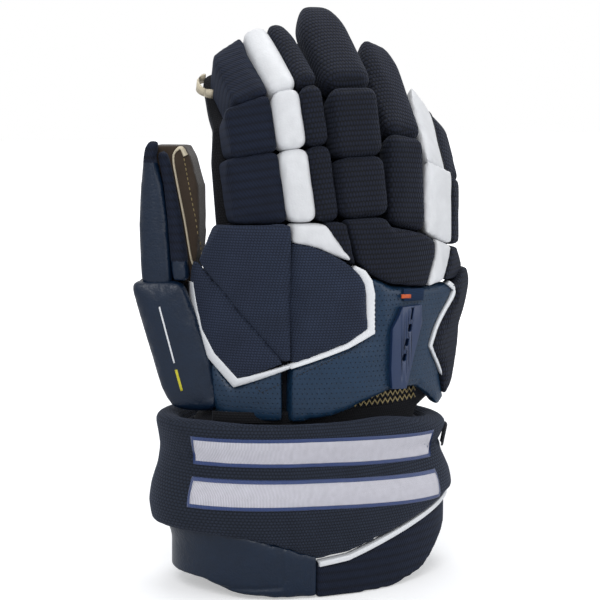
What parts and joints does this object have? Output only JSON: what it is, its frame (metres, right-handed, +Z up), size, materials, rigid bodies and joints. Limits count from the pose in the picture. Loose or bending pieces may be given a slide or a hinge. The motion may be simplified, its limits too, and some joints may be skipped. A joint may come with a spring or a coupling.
{
  "type": "ice hockey glove",
  "caption": "Right-hand ice-hockey glove standing on its cuff, with padded finger rolls on hinged segments, hinged thumb, wrist and cuff flaps.",
  "frame": {"origin": "middle of the overall box on the surface the cuff stands on", "axes": "+Z up along the fingers, back of the hand faces -Y, palm faces +Y, little finger towards +X, thumb towards -X"},
  "size_m": [0.2118, 0.1052, 0.3474],
  "materials": {
    "white_leather": "smooth white synthetic leather, satin",
    "navy_twill": "navy twill nylon, matt",
    "navy_knit": "coarse navy knit, matt",
    "hex_knit": "dense navy dotted nylon, matt",
    "navy_leather": "navy synthetic leather, satin",
    "white_trim": "white piping, satin",
    "guard_plastic": "moulded navy plastic, satin",
    "label": "small plain label",
    "suede": "brown suede palm leather, matt",
    "black_mesh": "black stretch mesh",
    "lining": "dark brushed lining",
    "stiffener": "hidden cuff stiffener",
    "tag": "black woven tag"
  },
  "bodies": {
    "hand": {"index_knuckle_white": "white_leather", "index_knuckle_knit": "navy_knit", "middle_knuckle_roll": "navy_knit", "little_knuckle_white": "white_leather", "little_knuckle_side": "navy_knit", "index_hand_pad": "hex_knit", "index_corner_pad": "hex_knit", "center_hand_pad": "hex_knit", "center_trim": "white_trim", "corner_trim": "white_trim", "backhand_plate": "navy_leather", "thumb_side_plate": "navy_leather", "knuckle_guard": "guard_plastic", "guard_label": "label", "little_side_panel": "navy_knit", "palm_leather": "suede", "hand_lining": "lining", "wrist_mesh": "black_mesh"},
    "thumb_base": {"thumb_base_shell": "navy_leather", "thumb_base_stall": "black_mesh"},
    "thumb_tip": {"thumb_tip_shell": "navy_leather", "thumb_tip_side": "navy_twill", "thumb_tip_stall": "suede"},
    "cuff": {"cuff_roll": "navy_knit", "cuff_insert": "stiffener", "cuff_liner": "lining", "cuff_trim": "white_trim", "cuff_tag": "tag"},
    "thumb_side_flap": {"thumb_side_flap": "navy_leather"},
    "little_side_flap": {"little_side_flap": "navy_knit"},
    "index_base": {"index_base_white_roll": "white_leather", "index_base_knit_roll": "navy_knit", "index_base_side_pad": "navy_twill", "index_base_stall": "black_mesh"},
    "index_mid": {"index_mid_white_roll": "white_leather", "index_mid_knit_roll": "navy_knit", "index_mid_side_pad": "navy_twill", "index_mid_stall": "black_mesh"},
    "index_tip": {"index_tip_white_roll": "white_leather", "index_tip_knit_roll": "navy_knit", "index_tip_side_pad": "navy_twill", "index_tip_stall": "black_mesh"},
    "middle_base": {"middle_base_roll": "navy_knit", "middle_base_stall": "black_mesh"},
    "middle_mid": {"middle_mid_roll": "navy_knit", "middle_mid_stall": "black_mesh"},
    "middle_tip": {"middle_tip_roll": "navy_knit", "middle_tip_stall": "black_mesh"},
    "ring_base": {"ring_base_roll": "navy_knit", "ring_base_stall": "black_mesh"},
    "ring_tip": {"ring_tip_roll": "navy_knit", "ring_tip_stall": "black_mesh"},
    "little_base": {"little_base_white_roll": "white_leather", "little_base_side_roll": "navy_knit", "little_base_stall": "black_mesh"},
    "little_tip": {"little_tip_white_roll": "white_leather", "little_tip_side_roll": "navy_knit", "little_tip_stall": "black_mesh"}
  },
  "joints": [
    {"name": "index_knuckle", "type": "hinge", "parent": "hand", "child": "index_base", "pos_m": [-0.00861, 0.00441, 0.21919], "axis": [-0.9954, 0, -0.0958], "range_deg": [0, 45]},
    {"name": "index_middle_joint", "type": "hinge", "parent": "index_base", "child": "index_mid", "pos_m": [-0.01258, 0.01023, 0.26039], "axis": [-0.9954, 0, -0.0958], "range_deg": [0, 50]},
    {"name": "index_tip_joint", "type": "hinge", "parent": "index_mid", "child": "index_tip", "pos_m": [-0.01432, 0.01344, 0.27852], "axis": [-0.9954, 0, -0.0958], "range_deg": [0, 40]},
    {"name": "middle_knuckle", "type": "hinge", "parent": "hand", "child": "middle_base", "pos_m": [0.02225, 0.00241, 0.22248], "axis": [-0.9986, 0, -0.0523], "range_deg": [0, 45]},
    {"name": "middle_middle_joint", "type": "hinge", "parent": "middle_base", "child": "middle_mid", "pos_m": [0.02057, 0.00694, 0.25462], "axis": [-0.9986, 0, -0.0523], "range_deg": [0, 50]},
    {"name": "middle_tip_joint", "type": "hinge", "parent": "middle_mid", "child": "middle_tip", "pos_m": [0.01923, 0.01145, 0.28019], "axis": [-0.9986, 0, -0.0523], "range_deg": [0, 40]},
    {"name": "ring_knuckle", "type": "hinge", "parent": "hand", "child": "ring_base", "pos_m": [0.05147, 0.00241, 0.20966], "axis": [-0.9997, 0, 0.0262], "range_deg": [0, 45]},
    {"name": "ring_middle_joint", "type": "hinge", "parent": "ring_base", "child": "ring_tip", "pos_m": [0.05268, 0.00977, 0.25607], "axis": [-0.9997, 0, 0.0262], "range_deg": [0, 40]},
    {"name": "little_knuckle", "type": "hinge", "parent": "hand", "child": "little_base", "pos_m": [0.07715, 0.00741, 0.20378], "axis": [-0.9981, 0, 0.061], "range_deg": [0, 45]},
    {"name": "little_middle_joint", "type": "hinge", "parent": "little_base", "child": "little_tip", "pos_m": [0.07944, 0.01336, 0.24124], "axis": [-0.9981, 0, 0.061], "range_deg": [0, 40]},
    {"name": "thumb_swing", "type": "hinge", "parent": "hand", "child": "thumb_base", "pos_m": [-0.05883, 0.03541, 0.15], "axis": [0, 0, 1], "range_deg": [-15, 0]},
    {"name": "thumb_tip_joint", "type": "hinge", "parent": "thumb_base", "child": "thumb_tip", "pos_m": [-0.07483, 0.039, 0.187], "axis": [0.866, -0.5, 0], "range_deg": [-30, 0]},
    {"name": "wrist", "type": "hinge", "parent": "hand", "child": "cuff", "pos_m": [-0.00033, 0.03541, 0.108], "axis": [1, 0, 0], "range_deg": [-2, 20]},
    {"name": "thumb_side_flap_hinge", "type": "hinge", "parent": "cuff", "child": "thumb_side_flap", "pos_m": [-0.07569, -0.02671, 0.0384], "axis": [-0.7547, 0.6561, 0], "range_deg": [0, 15]},
    {"name": "little_side_flap_hinge", "type": "hinge", "parent": "cuff", "child": "little_side_flap", "pos_m": [0.07015, -0.03058, 0.041], "axis": [-0.8095, -0.5872, 0], "range_deg": [0, 15]}
  ]
}
